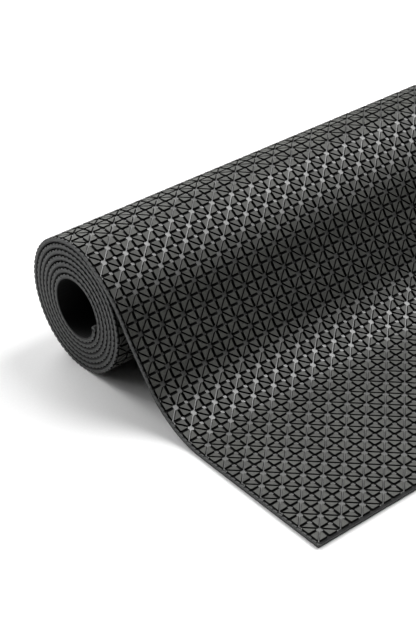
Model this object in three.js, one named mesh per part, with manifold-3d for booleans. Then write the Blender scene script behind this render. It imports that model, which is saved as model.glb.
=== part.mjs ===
// Heated rubber propagation mat, partly unrolled: a coil that stands on the floor and a
// sheet that leaves its front, slopes down and lies flat.  Millimetres, +Z up.
// +X runs along the roll, -Y is where the free end lies.
import * as THREE from 'three';
import { mergeVertices } from 'three/addons/utils/BufferGeometryUtils.js';
import Module from 'manifold-3d';

const wasm = await Module();
wasm.setup();

// ---- driving dimensions ------------------------------------------------------------
const MAT_WIDTH = 558.8;          // along the roll, 22 in
const FLAT_LENGTH = 96;           // from the free edge to where the sheet starts to lift
const LIFT_RADIUS = 56.6;         // concave bend that turns the sheet up, on the stud tops
const RAMP_ANGLE = 52;            // degrees, slope of the sheet where it meets the coil
const COIL_RADIUS = 44;           // over the stud tops, where the sheet leaves the coil
const COIL_TURNS = 6.836;         // from there to the inner end
const WRAP_AIR = 0.6;             // mean air between two wraps
const WRAP_SAG = 0.3;             // wraps lie this much tighter below, looser on top
const TURN_STEP = 18;             // degrees between two facets of the coil
const LIFT_STEPS = 5;             // facets of the concave bend

// The sheet is a stack of layers, listed from the studded face down.
const TOP_THICKNESS = 1.25;       // studded rubber sheet, studs included
const FILM_THICKNESS = 0.25;      // carbon heating film and the copper beside it
const CARRIER_THICKNESS = 0.12;
const SHIELD_THICKNESS = 0.1;     // earthed aluminium foil
const BOTTOM_THICKNESS = 0.86;    // smooth rubber sheet
const LAYER_GAP = 0.08;           // glue line between two layers

const SEAM_WIDTH = 9;             // unheated rubber strip that closes the four edges
const SEAM_GAP = 0.3;             // between a seam strip's end and its neighbour
const FILM_MARGIN = 3;            // films stop this far inside the seam strips
const BUSBAR_WIDTH = 10;          // copper strip down each side of the heating film
const STRIP_WIDTH = 4;            // copper strips from the leads to the busbars
const COLD_LENGTH = 55;           // unheated stretch behind the free edge

// Inlet housing, glued on the studded face at the free end's right-hand corner.
const INLET = { width: 48, depth: 32, corner: 5 };
const INLET_WALL = 2.2;
const INLET_FLOOR = 1.6;
const INLET_SIDE_INSET = 14;      // from the mat's right-hand edge
const INLET_FRONT_INSET = 6;      // from the free edge
const FIT_GAP = 0.3;              // between two pieces that rest on each other
const GROMMET_RADIUS = 4;
const GROMMET_BORE = 2.8;         // radius that the supply cord would pass through
const GROMMET_LIP = 0.8;          // the grommet's flanges stand this far over the wall hole
const GROMMET_LIP_THICKNESS = 1.2;
const LEAD_RADIUS = 0.9;
const LEAD_SPACING = 9;
const LEAD_SLOT_CLEARANCE = 0.6;
const CRIMP_RADIUS = 2;
const CRIMP_LENGTH = 11;
const CRIMP_HEIGHT = 4.4;         // crimp axis above the housing's floor
const LEAD_BEND = 2.9;            // a lead turns down this far behind its crimp
const CUTOUT_SIZE = { x: 7, y: 13, z: 3.4 };

// ---- derived sizes -----------------------------------------------------------------
const radians = THREE.MathUtils.degToRad;
const layers = {};
let depthSoFar = 0;
for (const [name, thickness] of [['top', TOP_THICKNESS], ['film', FILM_THICKNESS],
  ['carrier', CARRIER_THICKNESS], ['shield', SHIELD_THICKNESS], ['bottom', BOTTOM_THICKNESS]]) {
  layers[name] = { from: depthSoFar, to: depthSoFar + thickness };
  depthSoFar += thickness + LAYER_GAP;
}
const SHEET_THICKNESS = layers.bottom.to;
layers.seam = { from: layers.film.from, to: layers.shield.to };
const WRAP_PITCH = SHEET_THICKNESS + WRAP_AIR;

// Radius over the stud tops after turning `degrees` inward from where the sheet leaves.
const directionAt = (degrees) => 90 + RAMP_ANGLE - degrees;
function coilRadiusAt(degrees) {
  const turns = degrees / 360;
  return COIL_RADIUS - turns * (WRAP_PITCH + WRAP_SAG * Math.sin(radians(directionAt(degrees))));
}
const slope = { cos: Math.cos(radians(RAMP_ANGLE)), sin: Math.sin(radians(RAMP_ANGLE)) };
const coilHeight = coilRadiusAt(180 + RAMP_ANGLE);
const liftTop = SHEET_THICKNESS + LIFT_RADIUS * (1 - slope.cos);
const rampLength = (coilHeight + COIL_RADIUS * slope.cos - liftTop) / slope.sin;
const coilY = FLAT_LENGTH + LIFT_RADIUS * slope.sin + rampLength * slope.cos
  + COIL_RADIUS * slope.sin;
const backY = coilY + coilRadiusAt(directionAt(0));
const LEFT = -MAT_WIDTH / 2;
const RIGHT = MAT_WIDTH / 2;

// ---- the sheet's line --------------------------------------------------------------
// Stations along the studded face: a point, the direction out of the face, and the
// developed length at mid thickness.
function sheetStations() {
  const stations = [];
  const add = (y, z, outY, outZ) => {
    const station = { y, z, outY, outZ, length: 0 };
    const last = stations.at(-1);
    if (last) {
      const half = SHEET_THICKNESS / 2;
      const dy = y - outY * half - (last.y - last.outY * half);
      const dz = z - outZ * half - (last.z - last.outZ * half);
      station.length = last.length + Math.hypot(dy, dz);
    }
    stations.push(station);
  };
  add(0, SHEET_THICKNESS, 0, 1);
  for (let step = 0; step <= LIFT_STEPS; step++) {
    const angle = radians(RAMP_ANGLE * step / LIFT_STEPS);
    add(FLAT_LENGTH + LIFT_RADIUS * Math.sin(angle),
      SHEET_THICKNESS + LIFT_RADIUS * (1 - Math.cos(angle)), -Math.sin(angle), Math.cos(angle));
  }
  const coilPoint = (degrees) => {
    const direction = radians(directionAt(degrees));
    const radius = coilRadiusAt(degrees);
    add(coilY + radius * Math.cos(direction), coilHeight + radius * Math.sin(direction),
      Math.cos(direction), Math.sin(direction));
  };
  const total = COIL_TURNS * 360;
  coilPoint(0);
  const firstFacet = directionAt(0) - Math.floor((directionAt(0) - 0.5) / TURN_STEP) * TURN_STEP;
  for (let degrees = firstFacet; degrees < total - 0.5; degrees += TURN_STEP) coilPoint(degrees);
  coilPoint(total);
  return stations;
}
const stations = sheetStations();
const SHEET_LENGTH = stations.at(-1).length;

function stationAt(length) {
  const after = stations.findIndex((station) => station.length >= length);
  const b = stations[Math.max(after, 1)];
  const a = stations[Math.max(after, 1) - 1];
  const t = (length - a.length) / (b.length - a.length);
  const mix = (key) => a[key] + (b[key] - a[key]) * t;
  return { y: mix('y'), z: mix('z'), outY: mix('outY'), outZ: mix('outZ'), length };
}

// ---- solids ------------------------------------------------------------------------
// A layer between two developed lengths, from x0 to x1 across the mat.
function layerBand(layer, from, to, x0, x1) {
  const run = [stationAt(from)];
  run.push(...stations.filter((s) => s.length > from + 0.01 && s.length < to - 0.01));
  run.push(stationAt(to));
  const at = (s, depth) => new THREE.Vector2(s.y - s.outY * depth, s.z - s.outZ * depth);
  const outline = [...run.map((s) => at(s, layer.from)),
    ...run.toReversed().map((s) => at(s, layer.to))];
  const geometry = new THREE.ExtrudeGeometry(new THREE.Shape(outline),
    { depth: x1 - x0, bevelEnabled: false });
  // the section's axes (across, up, along) become (Y, Z, X)
  geometry.applyMatrix4(new THREE.Matrix4().set(0, 0, 1, x0, 1, 0, 0, 0, 0, 1, 0, 0, 0, 0, 0, 1));
  return geometry;
}

function toSolid(geometry) {
  const bare = geometry.clone();
  bare.deleteAttribute('normal');
  bare.deleteAttribute('uv');
  const merged = mergeVertices(bare, 1e-4);
  return new wasm.Manifold(new wasm.Mesh({
    numProp: 3,
    vertProperties: new Float32Array(merged.attributes.position.array),
    triVerts: new Uint32Array(merged.index.array),
  }));
}

function toGeometry(solid) {
  const mesh = solid.getMesh();
  const geometry = new THREE.BufferGeometry();
  geometry.setAttribute('position', new THREE.BufferAttribute(mesh.vertProperties, 3));
  geometry.setIndex(new THREE.BufferAttribute(mesh.triVerts, 1));
  geometry.computeVertexNormals();
  return geometry;
}

function cut(geometry, ...cutters) {
  return toGeometry(cutters.reduce((solid, cutter) => solid.subtract(toSolid(cutter)),
    toSolid(geometry)));
}

function roundedBlock(width, depth, corner, z0, z1) {
  const shape = new THREE.Shape();
  const x = width / 2 - corner;
  const y = depth / 2 - corner;
  shape.absarc(x, y, corner, 0, Math.PI / 2);
  shape.absarc(-x, y, corner, Math.PI / 2, Math.PI);
  shape.absarc(-x, -y, corner, Math.PI, 1.5 * Math.PI);
  shape.absarc(x, -y, corner, 1.5 * Math.PI, 2 * Math.PI);
  const geometry = new THREE.ExtrudeGeometry(shape,
    { depth: z1 - z0, bevelEnabled: false, curveSegments: 4 });
  return geometry.translate(0, 0, z0);
}

const barAlongY = (radius, y0, y1, x, z, sides = 16) =>
  new THREE.CylinderGeometry(radius, radius, y1 - y0, sides).translate(x, (y0 + y1) / 2, z);

// ---- the mat's own sheets and seams ------------------------------------------------
const mat = new THREE.Group();
mat.position.y = -backY / 2;      // the origin is the middle of the footprint, on the floor

function place(name, geometry, color, roughness, metalness = 0) {
  const mesh = new THREE.Mesh(geometry,
    new THREE.MeshStandardMaterial({ color, roughness, metalness }));
  mesh.name = name;
  mat.add(mesh);
  return mesh;
}

const filmFrom = SEAM_WIDTH + FILM_MARGIN;
const filmTo = SHEET_LENGTH - SEAM_WIDTH - FILM_MARGIN;
const filmLeft = LEFT + SEAM_WIDTH + FILM_MARGIN;
const filmRight = RIGHT - SEAM_WIDTH - FILM_MARGIN;

const inletX = RIGHT - INLET_SIDE_INSET - INLET.width / 2;
const inletY = INLET_FRONT_INSET + INLET.depth / 2;
const leadY = inletY + CRIMP_LENGTH / 2 + FIT_GAP + LEAD_BEND;
const leadX = { live: inletX - LEAD_SPACING, earth: inletX, neutral: inletX + LEAD_SPACING };
const slotHalf = LEAD_RADIUS + LEAD_SLOT_CLEARANCE;

function leadSlot(z0, z1) {
  return new THREE.BoxGeometry(2 * (LEAD_SPACING + slotHalf), 2 * slotHalf, z1 - z0)
    .translate(inletX, leadY, (z0 + z1) / 2);
}

function makeSheets() {
  const top = layerBand(layers.top, 0, SHEET_LENGTH, LEFT, RIGHT);
  const slot = leadSlot(SHEET_THICKNESS - layers.top.to - 1, SHEET_THICKNESS + 1);
  place('top_sheet', cut(top, slot), 0x4a4b4c, 0.6);
  place('bottom_sheet', layerBand(layers.bottom, 0, SHEET_LENGTH, LEFT, RIGHT), 0x39393b, 0.7);
}

function makeSeams() {
  const seam = (name, from, to, x0, x1) =>
    place(name, layerBand(layers.seam, from, to, x0, x1), 0x424345, 0.65);
  seam('left_edge_seam', 0, SHEET_LENGTH, LEFT, LEFT + SEAM_WIDTH);
  seam('right_edge_seam', 0, SHEET_LENGTH, RIGHT - SEAM_WIDTH, RIGHT);
  const x0 = LEFT + SEAM_WIDTH + SEAM_GAP;
  seam('free_end_seam', 0, SEAM_WIDTH, x0, -x0);
  seam('inner_end_seam', SHEET_LENGTH - SEAM_WIDTH, SHEET_LENGTH, x0, -x0);
}

// ---- films and heater --------------------------------------------------------------
function makeFilms() {
  const earthHole = barAlongY(slotHalf, -5, 5, 0, 0, 8).rotateX(Math.PI / 2)
    .translate(leadX.earth, leadY, SHEET_THICKNESS - layers.carrier.from);
  place('carrier_film', cut(layerBand(layers.carrier, filmFrom, filmTo, filmLeft, filmRight),
    earthHole), 0xc9b98f, 0.4);
  place('earth_shield', layerBand(layers.shield, filmFrom, filmTo, filmLeft, filmRight),
    0xc4c7ca, 0.35, 0.9);
}

// The film lies between two busbars, and two strips run from the leads to the busbars.
function makeHeater() {
  const copper = (name, from, to, x0, x1) =>
    place(name, layerBand(layers.film, from, to, x0, x1), 0xb87548, 0.35, 0.9);
  const inLeft = filmLeft + BUSBAR_WIDTH;
  const inRight = filmRight - BUSBAR_WIDTH;
  place('heating_film', layerBand(layers.film, COLD_LENGTH, filmTo,
    inLeft + FIT_GAP, inRight - FIT_GAP), 0x1d1d1f, 0.5);
  copper('busbar_live', filmFrom, filmTo, filmLeft, inLeft);
  copper('busbar_neutral', filmFrom, filmTo, inRight, filmRight);
  const half = STRIP_WIDTH / 2;
  copper('cross_strip_live', leadY - half, leadY + half, inLeft + FIT_GAP, leadX.live + half);
  copper('tab_neutral', leadY - half, leadY + half, leadX.neutral - half, inRight - FIT_GAP);
}

// ---- inlet -------------------------------------------------------------------------
const halfHeight = GROMMET_RADIUS + GROMMET_LIP + FIT_GAP + INLET_FLOOR;
const baseBottom = SHEET_THICKNESS + FIT_GAP;
const baseTop = baseBottom + halfHeight;
const coverBottom = baseTop + FIT_GAP;
const coverTop = coverBottom + halfHeight;
const mouthZ = (baseTop + coverBottom) / 2;
const frontWallY = inletY - INLET.depth / 2;
const crimpZ = baseBottom + INLET_FLOOR + CRIMP_HEIGHT;

function makeInletHousing() {
  const hollowWidth = INLET.width - 2 * INLET_WALL;
  const hollowDepth = INLET.depth - 2 * INLET_WALL;
  const hollowCorner = INLET.corner - INLET_WALL;
  const outer = (z0, z1) => roundedBlock(INLET.width, INLET.depth, INLET.corner, z0, z1)
    .translate(inletX, inletY, 0);
  const hollow = (z0, z1) => roundedBlock(hollowWidth, hollowDepth, hollowCorner, z0, z1)
    .translate(inletX, inletY, 0);
  const mouth = () => barAlongY(GROMMET_RADIUS + FIT_GAP, frontWallY - 1,
    frontWallY + INLET_WALL + 1, inletX, mouthZ);
  place('inlet_base', cut(outer(baseBottom, baseTop), hollow(baseBottom + INLET_FLOOR, baseTop + 1),
    mouth(), leadSlot(baseBottom - 1, baseBottom + INLET_FLOOR + 1)), 0x202122, 0.5);
  place('inlet_cover', cut(outer(coverBottom, coverTop),
    hollow(coverBottom - 1, coverTop - INLET_FLOOR), mouth()), 0x202122, 0.5);
}

function makeGrommet() {
  const lip = GROMMET_RADIUS + GROMMET_LIP;
  const inside = INLET_WALL + FIT_GAP;
  const profile = [[GROMMET_BORE, -GROMMET_LIP_THICKNESS - FIT_GAP],
    [lip, -GROMMET_LIP_THICKNESS - FIT_GAP], [lip, -FIT_GAP], [GROMMET_RADIUS, -FIT_GAP],
    [GROMMET_RADIUS, inside], [lip, inside], [lip, inside + GROMMET_LIP_THICKNESS],
    [GROMMET_BORE, inside + GROMMET_LIP_THICKNESS], [GROMMET_BORE, -GROMMET_LIP_THICKNESS - FIT_GAP]];
  const ring = new THREE.LatheGeometry(profile.map(([r, y]) => new THREE.Vector2(r, y)), 16);
  place('cord_grommet', ring.translate(inletX, frontWallY, mouthZ), 0x161616, 0.7);
}

function makeWiring() {
  const crimpFront = inletY - CRIMP_LENGTH / 2;
  const crimpBack = inletY + CRIMP_LENGTH / 2;
  const section = new THREE.Shape();
  section.absarc(0, 0, LEAD_RADIUS, 0, 2 * Math.PI);
  const feet = { live: layers.film.from, neutral: layers.film.from, earth: layers.shield.from };
  const colors = { live: 0x6b3d22, neutral: 0x2d5c9c, earth: 0x7c9a2c };
  for (const [name, depth] of Object.entries(feet)) {
    const x = leadX[name];
    place(`crimp_${name}`, barAlongY(CRIMP_RADIUS, crimpFront, crimpBack, x, crimpZ, 12),
      0xb9bcc0, 0.35, 0.9);
    const foot = SHEET_THICKNESS - depth + LAYER_GAP;
    const elbow = new THREE.Vector3(x, leadY, crimpZ);
    const below = new THREE.Vector3(x, leadY, crimpZ - LEAD_BEND);
    const path = new THREE.CurvePath();
    path.add(new THREE.QuadraticBezierCurve3(new THREE.Vector3(x, crimpBack + FIT_GAP, crimpZ),
      elbow, below));
    path.add(new THREE.LineCurve3(below, new THREE.Vector3(x, leadY, foot)));
    place(`lead_${name}`, new THREE.ExtrudeGeometry(section,
      { steps: 12, curveSegments: 4, extrudePath: path, bevelEnabled: false }), colors[name], 0.5);
  }
}

// Between the housing's left wall and the live crimp.
function makeCutout() {
  const wallX = inletX - INLET.width / 2 + INLET_WALL;
  const crimpX = leadX.live - CRIMP_RADIUS;
  const z = baseBottom + INLET_FLOOR + FIT_GAP + CUTOUT_SIZE.z / 2;
  place('thermal_cutout', new THREE.BoxGeometry(CUTOUT_SIZE.x, CUTOUT_SIZE.y, CUTOUT_SIZE.z)
    .translate((wallX + crimpX) / 2, inletY, z), 0xd8d6cf, 0.5);
}

makeSheets();
makeSeams();
makeFilms();
makeHeater();
makeInletHousing();
makeGrommet();
makeWiring();
makeCutout();

export default mat;
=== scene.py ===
# %% [markdown]
# # A studded rubber heat mat, half unrolled
#
# The object is one long sheet of moulded rubber.  Its free end lies flat, then the sheet
# bends up, climbs in a straight slope and winds into a coil of almost seven turns.  One
# face carries a relief of small triangular studs, the other face is smooth.
#
# The lesson builds everything flat first, as it comes out of the press, and then bends
# it.  That keeps every stud the right size, and it lets all the layers share one rule.

# %% Load the frame
import math
from bisect import bisect_right

import bmesh
import bpy
from mathutils import Matrix, Vector


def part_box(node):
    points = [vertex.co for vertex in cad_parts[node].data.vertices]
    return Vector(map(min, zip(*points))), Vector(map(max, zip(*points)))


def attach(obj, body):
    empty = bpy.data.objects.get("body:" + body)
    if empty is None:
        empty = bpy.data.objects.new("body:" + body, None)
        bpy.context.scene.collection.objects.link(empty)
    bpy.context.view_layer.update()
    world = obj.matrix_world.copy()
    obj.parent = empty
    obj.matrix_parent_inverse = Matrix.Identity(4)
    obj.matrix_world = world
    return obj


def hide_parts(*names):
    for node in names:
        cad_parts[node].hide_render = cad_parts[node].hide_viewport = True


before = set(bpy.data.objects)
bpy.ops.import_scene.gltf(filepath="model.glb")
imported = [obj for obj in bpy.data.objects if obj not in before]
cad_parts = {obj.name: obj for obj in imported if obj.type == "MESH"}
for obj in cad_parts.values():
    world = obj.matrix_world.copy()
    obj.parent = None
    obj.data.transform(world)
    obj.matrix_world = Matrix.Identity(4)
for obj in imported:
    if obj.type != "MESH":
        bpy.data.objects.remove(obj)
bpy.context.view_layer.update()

# %% [markdown]
# ## Where the sheet runs
#
# The section of the mat is the same everywhere along the roll, so it is a single line:
# flat, a concave bend, a straight slope and a spiral.  The values are the ones the frame
# was drawn with.  The spiral is a little tighter below than on top, because the wraps
# rest on each other.

# %% Sizes of the sheet's line
MM = 0.001
TINY = 1e-6                        # metres; two places closer than this are the same
THICKNESS = 2.90 * MM
FLAT_LENGTH = 96 * MM
LIFT_RADIUS = 56.6 * MM
RAMP_ANGLE = math.radians(52)
COIL_RADIUS = 44 * MM
COIL_TURNS = 6.836
WRAP_PITCH = 3.5 * MM
WRAP_SAG = 0.3 * MM

LEFT, FREE_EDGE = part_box("top_sheet")[0].xy
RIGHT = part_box("top_sheet")[1].x
WIDTH = RIGHT - LEFT
print(f"width {WIDTH / MM:.1f} mm, free edge at y = {FREE_EDGE / MM:.1f} mm")


# %% The spiral
def coil_direction(turned):
    """The way out of the coil, as an angle from the y axis, after turning this far."""
    return math.pi / 2 + RAMP_ANGLE - turned


def coil_radius(turned):
    """From the coil's centre to the stud tops.  Below the centre the wraps lie closer."""
    sag = WRAP_SAG * math.sin(coil_direction(turned))
    return COIL_RADIUS - turned / math.tau * (WRAP_PITCH + sag)


SLOPE_COS, SLOPE_SIN = math.cos(RAMP_ANGLE), math.sin(RAMP_ANGLE)
COIL_Z = coil_radius(math.pi + RAMP_ANGLE)
LIFT_TOP = THICKNESS + LIFT_RADIUS * (1 - SLOPE_COS)
RAMP_LENGTH = (COIL_Z + COIL_RADIUS * SLOPE_COS - LIFT_TOP) / SLOPE_SIN
RAMP_FOOT = Vector((FREE_EDGE + FLAT_LENGTH + LIFT_RADIUS * SLOPE_SIN, LIFT_TOP))
COIL_Y = RAMP_FOOT.x + RAMP_LENGTH * SLOPE_COS + COIL_RADIUS * SLOPE_SIN

LIFT_LENGTH = (LIFT_RADIUS + THICKNESS / 2) * RAMP_ANGLE
COIL_START = FLAT_LENGTH + LIFT_LENGTH + RAMP_LENGTH


def coil_lengths(step=math.radians(1)):
    """The turned angle and the sheet's length at mid thickness, all along the coil."""
    turned, lengths = [0.0], [COIL_START]
    steps = math.ceil(COIL_TURNS * math.tau / step)
    for i in range(1, steps + 1):
        angle = COIL_TURNS * math.tau * i / steps
        middle = coil_radius((turned[-1] + angle) / 2) - THICKNESS / 2
        lengths.append(lengths[-1] + (angle - turned[-1]) * middle)
        turned.append(angle)
    return turned, lengths


TURNED, LENGTHS = coil_lengths()
SHEET_LENGTH = LENGTHS[-1]
print(f"coil centre y {COIL_Y / MM:.2f}, z {COIL_Z / MM:.2f} mm; "
      f"sheet {SHEET_LENGTH / MM:.0f} mm long, slope {RAMP_LENGTH / MM:.1f} mm")


# %% [markdown]
# ## Bending
#
# `sheet_frame` answers one question: at this length along the sheet, where is the studded
# face, and which way is out?  `bend` then carries a flat mesh there.  In the flat mesh x
# runs across the mat, y is the length along it, and z is the height over the stud tops,
# so everything inside the sheet has a z below 0.

# %% From a flat length to a place
def coil_angle(length):
    """How far the coil has turned at this length of the sheet."""
    i = min(max(bisect_right(LENGTHS, length), 1), len(LENGTHS) - 1)
    share = (length - LENGTHS[i - 1]) / (LENGTHS[i] - LENGTHS[i - 1])
    return TURNED[i - 1] + share * (TURNED[i] - TURNED[i - 1])


def rigid_frame(length):
    """The plain line: (y, z) on the stud tops, then the way out of the sheet."""
    if length <= FLAT_LENGTH:
        return FREE_EDGE + length, THICKNESS, 0.0, 1.0
    length -= FLAT_LENGTH
    if length <= LIFT_LENGTH:
        angle = length / (LIFT_RADIUS + THICKNESS / 2)
        sin, cos = math.sin(angle), math.cos(angle)
        return (FREE_EDGE + FLAT_LENGTH + LIFT_RADIUS * sin,
                THICKNESS + LIFT_RADIUS * (1 - cos), -sin, cos)
    length -= LIFT_LENGTH
    if length <= RAMP_LENGTH:
        return (RAMP_FOOT.x + length * SLOPE_COS, RAMP_FOOT.y + length * SLOPE_SIN,
                -SLOPE_SIN, SLOPE_COS)
    turned = coil_angle(length + FLAT_LENGTH + LIFT_LENGTH)
    direction, radius = coil_direction(turned), coil_radius(turned)
    sin, cos = math.sin(direction), math.cos(direction)
    return COIL_Y + radius * cos, COIL_Z + radius * sin, cos, sin


# %% [markdown]
# Stiff rubber never goes from straight to round at once.  Where the slope meets the coil
# it swells out a little before and sinks a little after, by about a millimetre.  The
# inner end was the first to be rolled, so its last few millimetres lean into the bore.

# %% Easing into the coil
EASE_SPAN = 76 * MM
EASE_FROM = COIL_START - EASE_SPAN / 2
EASE_HEIGHT = 1.85 * MM
CURL_SPAN = 9 * MM                 # the inner end curls away from the wrap round it
CURL_HEIGHT = 1.2 * MM


def easing(length):
    """How far the sheet stands out of its plain line here, and how steeply that changes."""
    past = length - (SHEET_LENGTH - CURL_SPAN)
    if past > 0:
        return -CURL_HEIGHT * (past / CURL_SPAN) ** 2, -2 * CURL_HEIGHT * past / CURL_SPAN ** 2
    share = (length - EASE_FROM) / EASE_SPAN
    if not 0 < share < 1:
        return 0.0, 0.0
    swell = lambda t: math.sin(math.tau * t) * math.sin(math.pi * t) ** 2
    step = 1e-4
    steepness = (swell(share + step) - swell(share - step)) / (2 * step * EASE_SPAN)
    return EASE_HEIGHT * swell(share), EASE_HEIGHT * steepness


def sheet_frame(length):
    """(y, z) on the stud tops and (out_y, out_z) at this length."""
    y, z, out_y, out_z = rigid_frame(length)
    out, rise = easing(length)
    y, z = y + out_y * out, z + out_z * out
    lean = math.hypot(1.0, rise)
    return y, z, (out_y - out_z * rise) / lean, (out_z + out_y * rise) / lean


def bend(bm):
    """Carries a flat mesh to the sheet's line.  Each length is worked out only once."""
    seen = {}
    for vert in bm.verts:
        x, length, height = vert.co
        key = round(length, 7)
        if key not in seen:
            seen[key] = sheet_frame(length)
        y, z, out_y, out_z = seen[key]
        vert.co = (x, y + out_y * height, z + out_z * height)


# %% [markdown]
# ## Colours and nodes
#
# Colours are written as they look on a screen and turned to linear values once.  One
# helper adds a node, sets its options and links or fills its inputs.

# %% Helpers for materials
def linear(hex_colour):
    """A screen colour as linear red, green, blue and alpha."""
    def channel(value):
        return value / 12.92 if value <= 0.04045 else ((value + 0.055) / 1.055) ** 2.4
    parts = [int(hex_colour[i:i + 2], 16) / 255 for i in (1, 3, 5)]
    return (*map(channel, parts), 1.0)


def node(tree, kind, inputs=None, **settings):
    """Adds a node.  An input that is given a socket is linked, any other is filled."""
    made = tree.nodes.new(kind)
    for name, value in settings.items():
        setattr(made, name, value)
    for name, value in (inputs or {}).items():
        if isinstance(value, bpy.types.NodeSocket):
            tree.links.new(value, made.inputs[name])
        else:
            made.inputs[name].default_value = value
    return made


def new_material(name, **shader):
    """A material with a Principled shader, whose constants are set on its own sockets."""
    material = bpy.data.materials.new(name)
    material.use_nodes = True
    tree = material.node_tree
    tree.nodes.clear()
    surface = node(tree, "ShaderNodeBsdfPrincipled", shader)
    output = node(tree, "ShaderNodeOutputMaterial")
    tree.links.new(surface.outputs["BSDF"], output.inputs["Surface"])
    place = node(tree, "ShaderNodeTexCoord").outputs["Object"]
    return material, tree, surface, place


def ramp_between(tree, factor, low, high, colour_low, colour_high):
    ramp = node(tree, "ShaderNodeValToRGB", {"Fac": factor})
    first, last = ramp.color_ramp.elements
    first.position, first.color = low, colour_low
    last.position, last.color = high, colour_high
    return ramp.outputs["Color"]


def map_range(tree, value, low, high, to_low, to_high):
    made = node(tree, "ShaderNodeMapRange", {"Value": value, "From Min": low, "From Max": high,
                                            "To Min": to_low, "To Max": to_high})
    return made.outputs["Result"]


def noise_at(tree, place, grain, detail=3.0, roughness=0.6):
    """Noise whose coarsest grains are about `grain` metres across."""
    made = node(tree, "ShaderNodeTexNoise", {"Vector": place, "Scale": 1 / grain,
                                            "Detail": detail, "Roughness": roughness})
    return made.outputs["Fac"]


def bump(tree, surface, height, distance, strength=1.0):
    made = node(tree, "ShaderNodeBump", {"Height": height, "Distance": distance,
                                        "Strength": strength})
    tree.links.new(made.outputs["Normal"], surface.inputs["Normal"])


# %% [markdown]
# ## Rubber
#
# The mat is nitrile rubber pressed in a steel mould.  The mould's lands were blasted, so
# the stud tops come out grainy and dull.  Its ribs were milled and polished, so the
# diagonal grooves and the islands come out smoother and flash where the light grazes them.

# %% Stud tops
def grained_rubber():
    """Dull and grainy: the grain breaks up the light, a faint cloud keeps it from flatness."""
    material, tree, surface, place = new_material(
        "nitrile_rubber_grained", **{"IOR": 1.52, "Specular IOR Level": 0.62})
    grain = noise_at(tree, place, 0.9 * MM, detail=4.0, roughness=0.7)
    cloud = noise_at(tree, place, 26 * MM, detail=2.0)
    mixed = node(tree, "ShaderNodeMix", {"Factor": 0.35, "A": grain, "B": cloud},
                 data_type="FLOAT").outputs["Result"]
    colour = ramp_between(tree, mixed, 0.36, 0.66, linear("#22231f"), linear("#43443e"))
    tree.links.new(colour, surface.inputs["Base Color"])
    rough = map_range(tree, grain, 0.3, 0.7, 0.5, 0.66)
    tree.links.new(rough, surface.inputs["Roughness"])
    bump(tree, surface, grain, 0.16 * MM, 0.9)
    return material


# %% Groove floors
def polished_rubber():
    """Darker and smoother than the tops, with the flash that draws the bright bands."""
    material, tree, surface, place = new_material(
        "nitrile_rubber_polished", **{"IOR": 1.58, "Specular IOR Level": 1.0})
    grain = noise_at(tree, place, 0.9 * MM, detail=2.0)
    colour = ramp_between(tree, grain, 0.3, 0.7, linear("#222321"), linear("#2c2c2a"))
    tree.links.new(colour, surface.inputs["Base Color"])
    rough = map_range(tree, grain, 0.3, 0.7, 0.38, 0.48)
    tree.links.new(rough, surface.inputs["Roughness"])
    bump(tree, surface, grain, 0.03 * MM, 0.6)
    return material


# %% Groove walls: painted shade
def painted_shade_rubber():
    """Near-black: painted shade for the groove walls and wide floors, which the light from
    behind leaves in shadow.
    """
    material, tree, surface, place = new_material(
        "nitrile_rubber_painted_shade", **{"Roughness": 0.8, "IOR": 1.52, "Specular IOR Level": 0.12})
    grain = noise_at(tree, place, 0.6 * MM, detail=2.0)
    colour = ramp_between(tree, grain, 0.3, 0.7, linear("#0b0b0b"), linear("#151515"))
    tree.links.new(colour, surface.inputs["Base Color"])
    bump(tree, surface, grain, 0.03 * MM, 0.5)
    return material


# %% Cut edges and the smooth back
def cut_rubber():
    """Knife-cut, matt, with drag lines; lighter: partly the cut surface, partly painted fill
    light.
    """
    material, tree, surface, place = new_material(
        "nitrile_rubber_cut", **{"IOR": 1.52, "Specular IOR Level": 0.4})
    drag = node(tree, "ShaderNodeMapping", {"Vector": place, "Scale": (1.0, 0.25, 0.25)})
    grain = noise_at(tree, drag.outputs["Vector"], 0.5 * MM, detail=3.0)
    # The lighter colour is partly painted fill light on the roll's end face.
    colour = ramp_between(tree, grain, 0.3, 0.7, linear("#3a3b3b"), linear("#4c4d4c"))
    tree.links.new(colour, surface.inputs["Base Color"])
    rough = map_range(tree, grain, 0.3, 0.7, 0.55, 0.7)
    tree.links.new(rough, surface.inputs["Roughness"])
    bump(tree, surface, grain, 0.05 * MM, 0.6)
    return material


def smooth_rubber():
    """Nearly black with a soft, even sheen, as it leaves a plain mould plate."""
    material, tree, surface, place = new_material(
        "nitrile_rubber_smooth", **{"IOR": 1.52, "Specular IOR Level": 0.2})
    grain = noise_at(tree, place, 1.2 * MM, detail=3.0)
    cloud = noise_at(tree, place, 40 * MM, detail=2.0)
    colour = ramp_between(tree, cloud, 0.35, 0.65, linear("#0f0f10"), linear("#171818"))
    tree.links.new(colour, surface.inputs["Base Color"])
    rough = map_range(tree, grain, 0.3, 0.7, 0.5, 0.62)
    tree.links.new(rough, surface.inputs["Roughness"])
    bump(tree, surface, grain, 0.04 * MM, 0.5)
    return material


GRAINED, POLISHED = grained_rubber(), polished_rubber()
PAINTED_SHADE, CUT, SMOOTH = painted_shade_rubber(), cut_rubber(), smooth_rubber()
print("rubber finishes:", [m.name for m in (GRAINED, POLISHED, PAINTED_SHADE, CUT, SMOOTH)])


# %% [markdown]
# ## Making a piece
#
# Every piece ends the same way: the bmesh becomes an object at the origin, it gets its
# finishes, it rides on the one body, and it stands for its frame nodes.

# %% From bmesh to piece
def make_piece(name, bm, finishes, nodes=()):
    mesh = bpy.data.meshes.new(name)
    bm.to_mesh(mesh)
    bm.free()
    piece = bpy.data.objects.new(name, mesh)
    bpy.context.scene.collection.objects.link(piece)
    for finish in finishes:
        mesh.materials.append(finish)
    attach(piece, "root")
    if nodes:
        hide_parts(*nodes)
    print(f"{name}: {len(mesh.polygons)} faces")
    return piece
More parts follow.
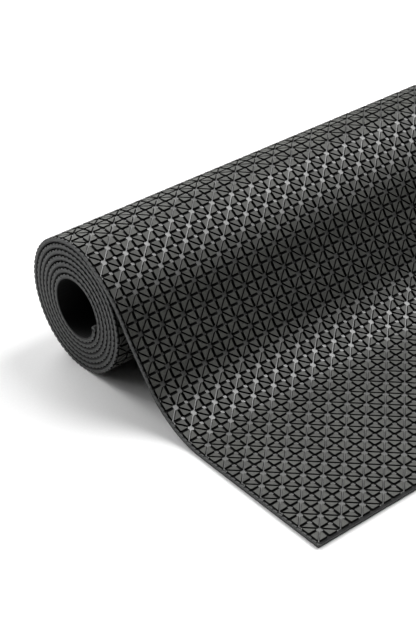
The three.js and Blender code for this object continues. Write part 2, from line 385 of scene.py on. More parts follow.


# %% [markdown]
# ## The studded face
#
# The relief is a square lattice.  Each square is split along one diagonal, and the
# diagonals alternate, so eight grooves meet at every second crossing and four at the
# others.  `connect_verts` draws all the diagonals at once, because it is only given the
# crossings where eight grooves meet.  A bevel on the crossings opens them into small
# flat islands.  Three individual insets then make the studs: the first leaves the groove
# floor, the second climbs the wall, the third turns the shoulder.  Between the first two,
# both studs of a square are drawn towards its middle, because the grooves along and across
# the mat are wider than the diagonal ones.  The wide floors get the walls' near-black
# finish: painted shade, for the shadow the studs throw into these grooves.

# %% Sizes of the relief
CELLS_ACROSS = 73
EDGE_BORDER = 1.1 * MM             # outside the lattice, for the rim
PITCH = (WIDTH - 2 * EDGE_BORDER) / CELLS_ACROSS
CELLS_ALONG = round((SHEET_LENGTH - 2 * EDGE_BORDER) / PITCH)
PITCH_ALONG = (SHEET_LENGTH - 2 * EDGE_BORDER) / CELLS_ALONG
RELIEF = 1.2 * MM                  # from the groove floor to the stud tops
GROOVE = 0.7 * MM                  # a diagonal groove, at the floor
SIDE_GROOVE = 1.25 * MM            # a groove along or across the mat, at the floor
EIGHT_WAY_ISLAND = 1.3 * MM
FOUR_WAY_ISLAND = 0.8 * MM
WALL_DRAFT = 0.2 * MM
SHOULDER = 0.12 * MM
WEB_BOTTOM = 1.31 * MM             # underside of the studded layer
STUD_AREA = 0.2 * PITCH * PITCH_ALONG   # a stud's half of a cell is larger, an island smaller
SIDE_FLOOR_LENGTH = 0.4 * PITCH    # a floor face along or across the mat is longer
SIDE_FLOOR_WIDTH = 0.2 * PITCH     # and narrower than this
STUD_FINISHES = [GRAINED, PAINTED_SHADE, POLISHED, CUT, SMOOTH]
TOP, SIDE, FLOOR, CUT_EDGE, RIM = range(len(STUD_FINISHES))
print(f"{CELLS_ACROSS} x {CELLS_ALONG} cells of {PITCH / MM:.2f} x {PITCH_ALONG / MM:.2f} mm")


def lattice_x(i):
    return LEFT + EDGE_BORDER + i * PITCH


def lattice_y(j):
    return EDGE_BORDER + j * PITCH_ALONG


# %% A patch of the lattice, with its islands
def lattice_patch(i0, i1, j0, j1):
    """The flat lattice over these cells, with its diagonals and its opened crossings."""
    x0, x1, y0, y1 = lattice_x(i0), lattice_x(i1), lattice_y(j0), lattice_y(j1)
    bm = bmesh.new()
    place = (Matrix.Translation(((x0 + x1) / 2, (y0 + y1) / 2, -RELIEF))
             @ Matrix.Diagonal((x1 - x0, y1 - y0, 1, 1)))
    bmesh.ops.create_grid(bm, x_segments=i1 - i0, y_segments=j1 - j0, size=0.5, matrix=place)
    eight_way, four_way = [], []
    for vert in bm.verts:
        i = round((vert.co.x - lattice_x(0)) / PITCH)
        j = round((vert.co.y - lattice_y(0)) / PITCH_ALONG)
        (four_way if (i + j) % 2 else eight_way).append(vert)
    bmesh.ops.connect_verts(bm, verts=eight_way)
    for crossings, size in ((eight_way, EIGHT_WAY_ISLAND), (four_way, FOUR_WAY_ISLAND)):
        bmesh.ops.bevel(bm, geom=crossings, offset=size, segments=1, profile=0.5,
                        affect="VERTICES", material=-1)
    return bm


# %% Closing a patch below
def close_below(bm, x0, x1):
    """Gives an open relief a rim and an underside that is split in rows, so it can bend."""
    open_rim = [e for e in bm.edges if e.is_boundary]
    made = bmesh.ops.extrude_edge_only(bm, edges=open_rim)["geom"]
    lowered = [g for g in made if isinstance(g, bmesh.types.BMVert)]
    sides = [g for g in made if isinstance(g, bmesh.types.BMFace)]
    bmesh.ops.translate(bm, verts=lowered, vec=(0, 0, RELIEF - WEB_BOTTOM))
    loop = [e for e in bm.edges if e.is_boundary]
    bmesh.ops.contextual_create(bm, geom=loop)

    def chain(x):
        return sorted((v for v in lowered if abs(v.co.x - x) < TINY), key=lambda v: v.co.y)

    for left, right in list(zip(chain(x0), chain(x1), strict=True))[1:-1]:
        shared = next(f for f in left.link_faces if f in right.link_faces)
        bmesh.utils.face_split(shared, left, right)
    bmesh.ops.recalc_face_normals(bm, faces=bm.faces[:])
    return sides


# %% Shaping the grooves
def draw_to_cell_middles(studs):
    """Shrinks both studs of a cell about its middle.  That widens the grooves along and
    across the mat and leaves the diagonal between the two studs as narrow as it was."""
    share = (PITCH - SIDE_GROOVE) / (PITCH - GROOVE)
    for face in studs:
        centre = face.calc_center_median()
        i = math.floor((centre.x - lattice_x(0)) / PITCH)
        j = math.floor((centre.y - lattice_y(0)) / PITCH_ALONG)
        middle = Vector((lattice_x(i + 0.5), lattice_y(j + 0.5), centre.z))
        for vert in face.verts:
            vert.co = middle + (vert.co - middle) * share


def rim_distance(face):
    """How far a face's middle is from the outermost line of the lattice."""
    centre = face.calc_center_median()
    return min(centre.x - lattice_x(0), lattice_x(CELLS_ACROSS) - centre.x,
               centre.y - lattice_y(0), lattice_y(CELLS_ALONG) - centre.y)


def is_side_floor(face):
    """True for a floor face that runs along or across the mat, not on a diagonal."""
    low, high = (Vector(map(pick, zip(*(v.co for v in face.verts)))) for pick in (min, max))
    long_side, short_side = sorted((high - low).xy, reverse=True)
    return long_side > SIDE_FLOOR_LENGTH and short_side < SIDE_FLOOR_WIDTH


# %% Studs on a patch
def reach_the_edge(bm):
    """Pulls the outermost line of the lattice out to the sheet's own edge."""
    outer = {"x": [(lattice_x(0), LEFT), (lattice_x(CELLS_ACROSS), RIGHT)],
             "y": [(lattice_y(0), 0), (lattice_y(CELLS_ALONG), SHEET_LENGTH)]}
    for vert in (v for v in bm.verts if v.is_boundary):
        for axis, pairs in outer.items():
            for line, edge in pairs:
                if abs(getattr(vert.co, axis) - line) < TINY:
                    setattr(vert.co, axis, edge)


def studded_patch(name, columns, rows, nodes=()):
    """The studded layer over these columns and rows of the lattice, closed below."""
    (i0, i1), (j0, j1) = columns, rows
    bm = lattice_patch(i0, i1, j0, j1)
    studs = [f for f in bm.faces if f.calc_area() > STUD_AREA]

    def inset(thickness, depth):
        return bmesh.ops.inset_individual(bm, faces=studs, thickness=thickness, depth=depth,
                                          use_even_offset=True)["faces"]

    def finish(faces, slot):
        for face in faces:
            face.material_index = slot

    finish(bm.faces, FLOOR)
    floors = inset(GROOVE / 2, 0)
    draw_to_cell_middles(studs)
    # The wide floors along and across the mat get the walls' near-black painted shade.
    finish(filter(is_side_floor, floors), SIDE)
    # The floor along the rim gets the back's near-black finish: painted shade for the shadow
    # the outer studs throw along the edge.
    finish((f for f in bm.faces if rim_distance(f) < SIDE_GROOVE), RIM)
    # The walls get the near-black painted shade.
    finish(inset(WALL_DRAFT, RELIEF - SHOULDER), SIDE)
    finish(inset(SHOULDER, SHOULDER) + studs, TOP)
    reach_the_edge(bm)
    xs = [v.co.x for v in bm.verts if v.is_boundary]
    finish(close_below(bm, min(xs), max(xs)), CUT_EDGE)
    bend(bm)
    return make_piece(name, bm, STUD_FINISHES, nodes)


# %% [markdown]
# Only the outermost wrap shows its studs.  Rows are counted until a little past the
# point where the sheet has gone once round and passes under itself.  Further in, only
# two columns at each end of the roll can be seen, so the rest of the layer is plain.

# %% The studded layer, in patches
HIDDEN_FROM = next(length for turned, length in zip(TURNED, LENGTHS)
                   if turned > math.tau) + 2 * PITCH
SHOWN_ROWS = math.ceil(HIDDEN_FROM / PITCH_ALONG)
END_COLUMNS = 2
ROW_MARKS = [round(SHOWN_ROWS * k / 3) for k in range(4)]
PATCHES = [
    studded_patch("studded_sheet_flat", (0, CELLS_ACROSS), ROW_MARKS[0:2], ["top_sheet"]),
    studded_patch("studded_sheet_rise", (0, CELLS_ACROSS), ROW_MARKS[1:3]),
    studded_patch("studded_sheet_wrap", (0, CELLS_ACROSS), ROW_MARKS[2:4]),
    studded_patch("studded_sheet_left_end", (0, END_COLUMNS), (SHOWN_ROWS, CELLS_ALONG)),
    studded_patch("studded_sheet_right_end", (CELLS_ACROSS - END_COLUMNS, CELLS_ACROSS),
                  (SHOWN_ROWS, CELLS_ALONG)),
]
print(f"{len(PATCHES)} patches; rows with studs all across: {SHOWN_ROWS} of {CELLS_ALONG}")

# %% [markdown]
# ## Plain layers
#
# The other layers of the sandwich are bands of one thickness.  A band is a slab with
# many short rows, so that it bends smoothly, and one helper makes them all.

# %% Bands
ROW = 2.5 * MM


def flat_slab(x0, x1, y0, y1, z0, z1, along):
    """A closed slab on the flat plan, in short rows."""
    bm = bmesh.new()
    place = (Matrix.Translation(((x0 + x1) / 2, (y0 + y1) / 2, z0))
             @ Matrix.Diagonal((x1 - x0, y1 - y0, 1, 1)))
    bmesh.ops.create_grid(bm, x_segments=1, y_segments=along, size=0.5, matrix=place)
    made = bmesh.ops.extrude_face_region(bm, geom=bm.faces[:])["geom"]
    raised = [g for g in made if isinstance(g, bmesh.types.BMVert)]
    bmesh.ops.translate(bm, verts=raised, vec=(0, 0, z1 - z0))
    bmesh.ops.recalc_face_normals(bm, faces=bm.faces[:])
    return bm


def band(name, depth0, depth1, y0, y1, x0, x1, finish, slot, nodes=(), soften=0.0):
    """One layer between two depths below the stud tops; soften rounds its lower rim."""
    bm = flat_slab(x0, x1, y0, y1, -depth1, -depth0, max(1, round((y1 - y0) / ROW)))
    if soften:
        low = -depth1 + TINY / 10
        lower_rim = [e for e in bm.edges if all(v.co.z < low for v in e.verts)
                     and any(f.normal.z > -0.5 for f in e.link_faces)]
        bmesh.ops.bevel(bm, geom=lower_rim, offset=soften, segments=2, profile=0.5,
                        affect="EDGES", material=-1)
    bend(bm)
    return make_piece(name, bm, [finish], nodes)


# %% [markdown]
# The long edges end in a low ledge with a row of small blocks on it, two to a cell.  In
# the coil they show as a row of notches along every wrap.  A block is a cube with a
# bevelled top, because there are hundreds of them.

# %% Rim ledge and blocks
RIM_WIDTH = 0.8 * MM
LEDGE_TOP = 0.6 * MM               # below the stud tops
BLOCKS_PER_CELL = 2
NOTCH = 1.5 * MM
SUNK = 0.02 * MM                   # a block's foot goes this far into the ledge
BLOCK_CHAMFER, BLOCK_DROP = 0.12 * MM, 0.1 * MM


def rim(name, x0, x1):
    """The ledge along one long edge, with its blocks."""
    step = PITCH_ALONG / BLOCKS_PER_CELL
    bm = flat_slab(x0, x1, 0, SHEET_LENGTH, -RELIEF - SUNK, -LEDGE_TOP,
                   round(SHEET_LENGTH / ROW))
    height = LEDGE_TOP + SUNK
    for k in range(CELLS_ALONG * BLOCKS_PER_CELL):
        middle = Vector(((x0 + x1) / 2, EDGE_BORDER + (k + 0.5) * step, -height / 2))
        bmesh.ops.create_cube(bm, size=1, matrix=Matrix.Translation(middle)
                              @ Matrix.Diagonal((x1 - x0, step - NOTCH, height, 1)))
    tops = [f for f in bm.faces if f.normal.z > 0.5 and f.calc_center_median().z > -SUNK]
    bmesh.ops.inset_individual(bm, faces=tops, thickness=BLOCK_CHAMFER, depth=0.0)
    for vert in {v for f in bm.faces for v in f.verts} - {v for f in tops for v in f.verts}:
        if vert.co.z > -SUNK:
            vert.co.z = -BLOCK_DROP
    for face in bm.faces:
        # Faces that look along the mat, the notch walls among them, and the undersides get the
        # near-black painted shade; the rest is cut rubber.
        face.material_index = 0 if face.normal.z > 0.2 or abs(face.normal.x) > 0.5 else 1
    bend(bm)
    return make_piece(name, bm, [CUT, PAINTED_SHADE])


rim("left_rim", LEFT, LEFT + RIM_WIDTH)
rim("right_rim", RIGHT - RIM_WIDTH, RIGHT)


# %% [markdown]
# Below the studs comes the closed part of the mat.  The wraps inside the coil can't be
# seen, so their studded layer is a plain band between the two rows of end studs.  The
# smooth back is one band over the whole length, with its lower rim rounded by a bevel.

# %% The plain middle of the inner wraps and the smooth back
inner_y = EDGE_BORDER + SHOWN_ROWS * PITCH_ALONG
band("studded_sheet_core", RELIEF, WEB_BOTTOM, inner_y, SHEET_LENGTH,
     LEFT + EDGE_BORDER + END_COLUMNS * PITCH, RIGHT - EDGE_BORDER - END_COLUMNS * PITCH,
     POLISHED, "studded_rubber")
BACK_TOP = 2.0 * MM
back = band("smooth_back", BACK_TOP, THICKNESS, 0, SHEET_LENGTH, LEFT, RIGHT, SMOOTH,
            "smooth_rubber", ["bottom_sheet"], soften=0.45 * MM)

# %% [markdown]
# ## Seams
#
# A strip of rubber closes each of the four edges between the studded layer and the back.
# The inner end is finished with a round bead that shows in the bore.  It is a circle
# drawn in the section and extruded along the roll.

# %% Edge seams
SEAM_WIDTH = 9 * MM
for side, x0, x1 in (("left", LEFT, LEFT + SEAM_WIDTH), ("right", RIGHT - SEAM_WIDTH, RIGHT)):
    band(f"{side}_edge_seam_strip", WEB_BOTTOM, BACK_TOP, 0, SHEET_LENGTH, x0, x1, CUT,
         "seam_rubber", [f"{side}_edge_seam"])
SEAM_ENDS = LEFT + SEAM_WIDTH, RIGHT - SEAM_WIDTH
band("free_end_seam_strip", WEB_BOTTOM, BACK_TOP, 0, SEAM_WIDTH, *SEAM_ENDS, CUT,
     "seam_rubber", ["free_end_seam"])
band("inner_end_seam_strip", WEB_BOTTOM, BACK_TOP, SHEET_LENGTH - SEAM_WIDTH, SHEET_LENGTH,
     *SEAM_ENDS, CUT, "seam_rubber", ["inner_end_seam"])

# %% Bead along the inner end
BEAD_RADIUS = 1.75 * MM
BEAD_DEPTH = 1.6 * MM
BEAD_ROUNDING = 0.35 * MM


def inner_bead():
    """A round rod along the end, as wide as the mat, with rounded ends."""
    bm = bmesh.new()
    upright = Matrix.Rotation(math.pi / 2, 4, "Y")
    place = Matrix.Translation((LEFT, SHEET_LENGTH, -BEAD_DEPTH)) @ upright
    bmesh.ops.create_circle(bm, cap_ends=True, segments=24, radius=BEAD_RADIUS, matrix=place)
    made = bmesh.ops.extrude_face_region(bm, geom=bm.faces[:])["geom"]
    far = [g for g in made if isinstance(g, bmesh.types.BMVert)]
    bmesh.ops.translate(bm, verts=far, vec=(WIDTH, 0, 0))
    ends = [e for e in bm.edges if any(abs(f.normal.x) > 0.5 for f in e.link_faces)]
    bmesh.ops.bevel(bm, geom=ends, offset=BEAD_ROUNDING, segments=2, profile=0.5,
                    affect="EDGES", material=-1)
    bmesh.ops.recalc_face_normals(bm, faces=bm.faces[:])
    for face in bm.faces:
        face.smooth = abs(face.normal.x) < 0.5
    bend(bm)
    return make_piece("inner_end_bead", bm, [CUT])


inner_bead()

# %% [markdown]
# ## Foils and heater
#
# Nothing here shows until the mat is cut open, but each layer is what it is on the real
# mat: carbon ink printed on film, a clear polyester carrier, an earthed aluminium foil,
# and copper busbars with two strips that lead to them.

# %% Metal foils
def rolled_foil(name, dark, light, roughness):
    """Rolled foil: fine lines run along the mat, and handling leaves soft creases."""
    material, tree, surface, place = new_material(name, Metallic=1.0)
    lines = node(tree, "ShaderNodeMapping", {"Vector": place, "Scale": (1.0, 0.02, 0.02)})
    grain = noise_at(tree, lines.outputs["Vector"], 0.4 * MM, detail=2.0)
    crease = noise_at(tree, place, 14 * MM, detail=3.0)
    tree.links.new(ramp_between(tree, grain, 0.3, 0.7, linear(dark), linear(light)),
                   surface.inputs["Base Color"])
    tree.links.new(map_range(tree, grain, 0.3, 0.7, roughness, roughness + 0.14),
                   surface.inputs["Roughness"])
    bump(tree, surface, crease, 0.2 * MM, 0.5)
    return material


COPPER = rolled_foil("rolled_copper_foil", "#b06a43", "#cf8a60", 0.24)
ALUMINIUM = rolled_foil("rolled_aluminium_foil", "#b4b7ba", "#d2d4d6", 0.22)


# %% Printed carbon and polyester
def printed_carbon():
    """Screen-printed ink: matt black bars, 4 mm apart, on a slightly lighter film."""
    material, tree, surface, place = new_material("printed_carbon_ink", IOR=1.6)
    bars = node(tree, "ShaderNodeTexWave", {"Vector": place, "Scale": math.pi / 20 / (4 * MM),
                                            "Distortion": 0.0}, bands_direction="X")
    edge = ramp_between(tree, bars.outputs["Fac"], 0.3, 0.4, linear("#33312e"),
                        linear("#161617"))
    tree.links.new(edge, surface.inputs["Base Color"])
    grit = noise_at(tree, place, 0.3 * MM, detail=2.0)
    tree.links.new(map_range(tree, grit, 0.3, 0.7, 0.45, 0.62), surface.inputs["Roughness"])
    bump(tree, surface, grit, 0.01 * MM, 0.5)
    return material


def polyester_film():
    """Amber polyester: smooth and glossy, with faint clouding from the laminating roller."""
    material, tree, surface, place = new_material(
        "amber_polyester_film", **{"IOR": 1.64, "Coat Weight": 0.4, "Coat Roughness": 0.12})
    cloud = noise_at(tree, place, 18 * MM, detail=2.0)
    tree.links.new(ramp_between(tree, cloud, 0.35, 0.65, linear("#b98f45"), linear("#cda65c")),
                   surface.inputs["Base Color"])
    tree.links.new(map_range(tree, cloud, 0.35, 0.65, 0.22, 0.34), surface.inputs["Roughness"])
    bump(tree, surface, cloud, 0.05 * MM, 0.4)
    return material


CARBON, POLYESTER = printed_carbon(), polyester_film()

# %% The layers between the seams
FILM, CARRIER, SHIELD = (1.33 * MM, 1.58 * MM), (1.66 * MM, 1.78 * MM), (1.86 * MM, 1.96 * MM)
FILM_FROM = SEAM_WIDTH + 3 * MM
FILM_TO = SHEET_LENGTH - FILM_FROM
FILM_LEFT, FILM_RIGHT = LEFT + FILM_FROM, RIGHT - FILM_FROM
BUSBAR = 10 * MM
JOIN = 0.3 * MM                    # air between the ink and the copper beside it
COLD_LENGTH = 55 * MM
STRIP_LOW, STRIP_HIGH = (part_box("tab_neutral")[k].y - FREE_EDGE for k in (0, 1))
LEAD_STRIP_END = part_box("cross_strip_live")[1].x
TAB_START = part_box("tab_neutral")[0].x
band("polyester_carrier", *CARRIER, FILM_FROM, FILM_TO, FILM_LEFT, FILM_RIGHT, POLYESTER,
     "carrier_film", ["carrier_film"])
band("foil_shield", *SHIELD, FILM_FROM, FILM_TO, FILM_LEFT, FILM_RIGHT, ALUMINIUM,
     "aluminium_foil", ["earth_shield"])
band("printed_heater", *FILM, COLD_LENGTH, FILM_TO, FILM_LEFT + BUSBAR + JOIN,
     FILM_RIGHT - BUSBAR - JOIN, CARBON, "carbon_film", ["heating_film"])
band("live_busbar", *FILM, FILM_FROM, FILM_TO, FILM_LEFT, FILM_LEFT + BUSBAR, COPPER,
     "copper_foil", ["busbar_live"])
band("neutral_busbar", *FILM, FILM_FROM, FILM_TO, FILM_RIGHT - BUSBAR, FILM_RIGHT, COPPER,
     "copper_foil", ["busbar_neutral"])
band("live_cross_strip", *FILM, STRIP_LOW, STRIP_HIGH, FILM_LEFT + BUSBAR + JOIN,
     LEAD_STRIP_END, COPPER, "copper_foil", ["cross_strip_live"])
band("neutral_tab", *FILM, STRIP_LOW, STRIP_HIGH, TAB_START, FILM_RIGHT - BUSBAR - JOIN,
     COPPER, "copper_foil", ["tab_neutral"])

# %% [markdown]
# ## The inlet
#
# A small two-part box sits on the free end's far corner.  Each half is a rounded
# rectangle, raised, then hollowed by an inset that is pushed back down.  Its outer edges
# are rounded last.  A boolean opens the half-round mouth where the cord would enter.

# %% Plastics of the inlet
def textured_plastic():
    """Moulded ABS with a fine spark-eroded texture, so it glows softly and never mirrors."""
    material, tree, surface, place = new_material(
        "textured_abs", **{"IOR": 1.54, "Specular IOR Level": 0.45})
    grain = noise_at(tree, place, 0.35 * MM, detail=3.0)
    tree.links.new(ramp_between(tree, grain, 0.35, 0.65, linear("#1d1e1f"), linear("#292a2b")),
                   surface.inputs["Base Color"])
    tree.links.new(map_range(tree, grain, 0.3, 0.7, 0.42, 0.56), surface.inputs["Roughness"])
    bump(tree, surface, grain, 0.05 * MM, 0.7)
    return material


def soft_rubber():
    """Soft moulded rubber: darker and duller than the plastic, with a dusty bloom."""
    material, tree, surface, place = new_material(
        "soft_grommet_rubber", **{"IOR": 1.52, "Specular IOR Level": 0.3})
    bloom = noise_at(tree, place, 2 * MM, detail=3.0)
    tree.links.new(ramp_between(tree, bloom, 0.35, 0.7, linear("#141414"), linear("#222221")),
                   surface.inputs["Base Color"])
    tree.links.new(map_range(tree, bloom, 0.3, 0.7, 0.6, 0.78), surface.inputs["Roughness"])
    bump(tree, surface, bloom, 0.04 * MM, 0.5)
    return material


ABS, GROMMET_RUBBER = textured_plastic(), soft_rubber()

# %% Sizes of the inlet
BASE_LOW, BASE_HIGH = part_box("inlet_base")
COVER_LOW, COVER_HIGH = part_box("inlet_cover")
INLET_WALL, INLET_FLOOR = 2.2 * MM, 1.6 * MM
INLET_CORNER = 5 * MM
INLET_ROUNDING = 1.0 * MM
MOUTH_RADIUS = 4.3 * MM
MOUTH = Vector(((BASE_LOW.x + BASE_HIGH.x) / 2, BASE_LOW.y, (BASE_HIGH.z + COVER_LOW.z) / 2))
print("inlet", tuple(round(v / MM, 1) for v in COVER_HIGH - BASE_LOW), "mm")


# %% One half of the box, open on one side
def box_half(low, high, opening):
    """opening is 1 where the half is open at the top, -1 where it is open below."""
    width, depth, height = high - low
    middle = (low + high) / 2
    bm = bmesh.new()
    bmesh.ops.create_grid(bm, x_segments=1, y_segments=1, size=0.5,
                          matrix=Matrix.Diagonal((width, depth, 1, 1)))
    bmesh.ops.bevel(bm, geom=bm.verts[:], offset=INLET_CORNER, segments=6, profile=0.5,
                    affect="VERTICES", material=-1)
    made = bmesh.ops.extrude_face_region(bm, geom=bm.faces[:])["geom"]
    bmesh.ops.translate(bm, verts=[g for g in made if isinstance(g, bmesh.types.BMVert)],
                        vec=(0, 0, height))
    bmesh.ops.recalc_face_normals(bm, faces=bm.faces[:])
    closed_rim = [e for e in bm.edges if all(v.co.z < TINY for v in e.verts)]
    bmesh.ops.bevel(bm, geom=closed_rim, offset=INLET_ROUNDING, segments=3, profile=0.5,
                    affect="EDGES", material=-1)
    lid = [f for f in bm.faces if f.normal.z > 0.9]
    bmesh.ops.inset_region(bm, faces=lid, thickness=INLET_WALL, depth=0.0,
                           use_even_offset=True)
    hollow = bmesh.ops.extrude_face_region(bm, geom=lid)["geom"]
    bmesh.ops.delete(bm, geom=lid, context="FACES")
    bmesh.ops.translate(bm, verts=[g for g in hollow if isinstance(g, bmesh.types.BMVert)],
                        vec=(0, 0, INLET_FLOOR - height))
    if opening < 0:
        bmesh.ops.rotate(bm, verts=bm.verts[:], cent=(0, 0, height / 2),
                         matrix=Matrix.Rotation(math.pi, 3, "Y"))
    bmesh.ops.translate(bm, verts=bm.verts[:], vec=(middle.x, middle.y, low.z))
    bmesh.ops.recalc_face_normals(bm, faces=bm.faces[:])
    return bm


# %% Cutting the mouth
def cut_mouth(piece):
    """A boolean takes a rod out of the front wall, and its result is kept as the mesh."""
    bm = bmesh.new()
    along = Matrix.Translation(MOUTH) @ Matrix.Rotation(math.pi / 2, 4, "X")
    bmesh.ops.create_cone(bm, cap_ends=True, segments=32, radius1=MOUTH_RADIUS,
                          radius2=MOUTH_RADIUS, depth=4 * INLET_WALL, matrix=along)
    rod_mesh = bpy.data.meshes.new("mouth_rod")
    bm.to_mesh(rod_mesh)
    bm.free()
    rod = bpy.data.objects.new("mouth_rod", rod_mesh)
    bpy.context.scene.collection.objects.link(rod)
    cut = piece.modifiers.new("mouth", "BOOLEAN")
    cut.operation, cut.object, cut.solver = "DIFFERENCE", rod, "EXACT"
    shaped = piece.evaluated_get(bpy.context.evaluated_depsgraph_get())
    cut_mesh = bpy.data.meshes.new_from_object(shaped)
    piece.modifiers.clear()
    piece.data = cut_mesh
    bpy.data.objects.remove(rod)
    print(f"{piece.name}: {len(cut_mesh.polygons)} faces after the mouth")


cut_mouth(make_piece("inlet_box_base", box_half(BASE_LOW, BASE_HIGH, 1), [ABS],
                     ["inlet_base"]))
cut_mouth(make_piece("inlet_box_cover", box_half(COVER_LOW, COVER_HIGH, -1), [ABS],
                     ["inlet_cover"]))

# %% [markdown]
# The grommet is a turned shape: two flanges with a neck between them that fills the
# mouth.  Its half-section is drawn as a row of points and spun once round.

# %% Grommet
def grommet():
    """Turned about the mouth's own axis."""
    low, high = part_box("cord_grommet")
    neck, lip, bore = 4 * MM, 4.8 * MM, 2.8 * MM
    back_edge, front_edge = high.y - MOUTH.y, low.y - MOUTH.y
    lip_depth = 1.2 * MM
    section = [(bore, front_edge), (lip, front_edge), (lip, front_edge + lip_depth),
               (neck, front_edge + lip_depth), (neck, back_edge - lip_depth),
               (lip, back_edge - lip_depth), (lip, back_edge), (bore, back_edge)]
    bm = bmesh.new()
    ring = [bm.verts.new((MOUTH.x + r, MOUTH.y + y, MOUTH.z)) for r, y in section]
    for start, end in zip(ring, ring[1:] + ring[:1]):
        bm.edges.new((start, end))
    bmesh.ops.bevel(bm, geom=ring, offset=0.25 * MM, segments=2, profile=0.5,
                    affect="VERTICES", material=-1)
    bmesh.ops.spin(bm, geom=bm.verts[:] + bm.edges[:], cent=MOUTH, axis=(0, 1, 0),
                   angle=math.tau, steps=40, use_merge=True)
    bmesh.ops.recalc_face_normals(bm, faces=bm.faces[:])
    for face in bm.faces:
        face.smooth = True
    return make_piece("supply_grommet", bm, [GROMMET_RUBBER],
                      ["cord_grommet"])


grommet()

# %% [markdown]
# The crimps, leads and cutout inside the box already have their right shapes, so those
# frame nodes stay and only get finishes.

# %% Finishes for the wiring
def lead_insulation(name, dark, light):
    """Extruded PVC: an even, slightly waxy colour with faint drawing lines along it."""
    material, tree, surface, place = new_material(name, **{"IOR": 1.53})
    grain = noise_at(tree, place, 0.8 * MM, detail=2.0)
    tree.links.new(ramp_between(tree, grain, 0.3, 0.7, linear(dark), linear(light)),
                   surface.inputs["Base Color"])
    tree.links.new(map_range(tree, grain, 0.3, 0.7, 0.34, 0.46), surface.inputs["Roughness"])
    bump(tree, surface, grain, 0.02 * MM, 0.4)
    return material


def glazed_ceramic():
    """The cutout's ceramic case: off-white, glossy where the glaze pooled."""
    material, tree, surface, place = new_material(
        "glazed_ceramic", **{"IOR": 1.5, "Coat Weight": 0.3, "Coat Roughness": 0.2})
    speck = noise_at(tree, place, 1.1 * MM, detail=3.0)
    tree.links.new(ramp_between(tree, speck, 0.3, 0.7, linear("#cfccc2"), linear("#dedcd4")),
                   surface.inputs["Base Color"])
    tree.links.new(map_range(tree, speck, 0.3, 0.7, 0.3, 0.45), surface.inputs["Roughness"])
    bump(tree, surface, speck, 0.03 * MM, 0.4)
    return material


WIRING = {
    "lead_live": lead_insulation("brown_pvc", "#5e351d", "#704126"),
    "lead_neutral": lead_insulation("blue_pvc", "#28548e", "#3363a6"),
    "lead_earth": lead_insulation("green_yellow_pvc", "#6f8d25", "#8aa833"),
    "thermal_cutout": glazed_ceramic(),
}
TINNED = rolled_foil("tinned_copper", "#a9acb0", "#c6c9cc", 0.28)
for crimp in ("crimp_live", "crimp_neutral", "crimp_earth"):
    WIRING[crimp] = TINNED
for name, finish in WIRING.items():
    for place_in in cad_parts[name].material_slots:
        place_in.material = finish
print("finished nodes:", sorted(WIRING))

# %% [markdown]
# ## The mat as a sheet
#
# The mat is one flexible sheet.  The relief, rims and seams are bonded to it and go where it
# goes.

# %% [markdown]
# ## Floor, camera and light
#
# The mat stands on a wide sheet of white backdrop paper.

# %% Floor
def backdrop_paper():
    """Uncoated paper: white, flat, with the faintest tooth."""
    material, tree, surface, place = new_material("backdrop_paper", Roughness=0.9)
    tooth = noise_at(tree, place, 1.5 * MM, detail=2.0)
    tree.links.new(ramp_between(tree, tooth, 0.3, 0.7, linear("#f3f3f3"), linear("#f6f6f6")),
                   surface.inputs["Base Color"])
    return material


FLOOR_HALF = 1.2                   # metres
floor_bm = bmesh.new()
bmesh.ops.create_grid(floor_bm, x_segments=1, y_segments=1, size=FLOOR_HALF)
floor_mesh = bpy.data.meshes.new("floor")
floor_bm.to_mesh(floor_mesh)
floor_bm.free()
floor = bpy.data.objects.new("floor", floor_mesh)
bpy.context.scene.collection.objects.link(floor)
floor_mesh.materials.append(backdrop_paper())

# %% [markdown]
# The camera looks down the roll from its left end, with a long lens, so the coil's end
# and the studs are both seen without much perspective.

# %% Camera
AZIMUTH, ELEVATION, ROLL = map(math.radians, (-38.12, 34.06, -1.654))
DISTANCE = 1.0187
AIM = Vector((LEFT + 0.0946, 0.0798, 0.0))


def direction(azimuth, elevation):
    """Towards a place round the mat: azimuth 0 is the free end, 90 the far end."""
    flat = math.cos(elevation)
    return Vector((math.sin(azimuth) * flat, -math.cos(azimuth) * flat, math.sin(elevation)))


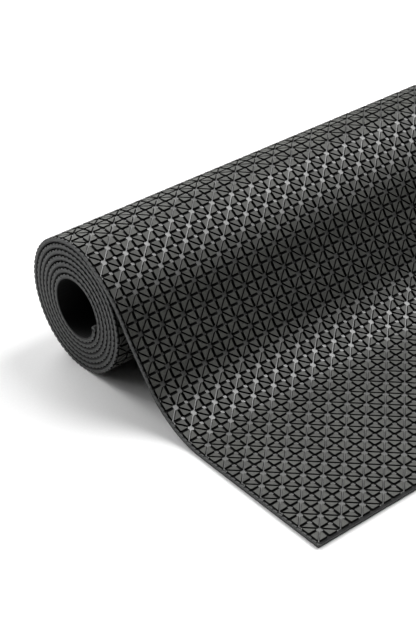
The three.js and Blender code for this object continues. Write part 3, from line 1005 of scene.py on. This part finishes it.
towards = direction(AZIMUTH, ELEVATION)
right = Vector((0, 0, 1)).cross(towards).normalized()
up = towards.cross(right)
turned = Matrix((right * math.cos(ROLL) + up * math.sin(ROLL),
                 up * math.cos(ROLL) - right * math.sin(ROLL), towards)).transposed()
camera = bpy.data.objects.new("camera", bpy.data.cameras.new("camera"))
bpy.context.scene.collection.objects.link(camera)
camera.data.lens = 95.04
camera.matrix_world = Matrix.Translation(AIM + towards * DISTANCE) @ turned.to_4x4()
bpy.context.scene.camera = camera

# %% [markdown]
# The light is soft and comes from behind the roll.  A large box at the far end draws the
# two bright bands on the groove floors, one on the coil and one in the bend.  A wide box
# behind lights the flat part and the paper, and leaves the slope dark.  The world is white
# to the eye and gives no light, so past the paper's edge the background stays white.

# %% Softboxes
LIGHT_CENTRE = Vector((-0.1, 0.02, 0.03))


def softbox(name, azimuth, elevation, distance, size, power):
    """A rectangular area light that faces the mat."""
    light = bpy.data.lights.new(name, "AREA")
    light.shape = "RECTANGLE"
    light.size, light.size_y = size
    light.energy = power
    lamp = bpy.data.objects.new(name, light)
    bpy.context.scene.collection.objects.link(lamp)
    facing = direction(math.radians(azimuth), math.radians(elevation))
    lamp.location = LIGHT_CENTRE + facing * distance
    lamp.rotation_euler = facing.to_track_quat("Z", "Y").to_euler()


# name, azimuth, elevation, metres away, width and height in metres, watts
LIGHTS = [
    ("key_right", 85, 57, 1.6, (1.1, 1.1), 28),
    ("backdrop_box", 180, 35, 2.4, (2.4, 1.4), 59),
    ("high_back", 165, 52, 2.4, (2.0, 1.2), 7),
    ("back_left", -140, 35, 2.4, (2.4, 1.4), 20),
    ("fill_left", -95, 20, 1.4, (0.9, 0.6), 0.5),
]
for light in LIGHTS:
    softbox(*light)
world = bpy.data.worlds.new("studio")
bpy.context.scene.world = world
world.use_nodes = True
world.node_tree.nodes["Background"].inputs["Color"].default_value = (1, 1, 1, 1)
seen = node(world.node_tree, "ShaderNodeLightPath").outputs["Is Camera Ray"]
world.node_tree.links.new(seen, world.node_tree.nodes["Background"].inputs["Strength"])
bpy.context.scene.view_settings.view_transform = "Standard"
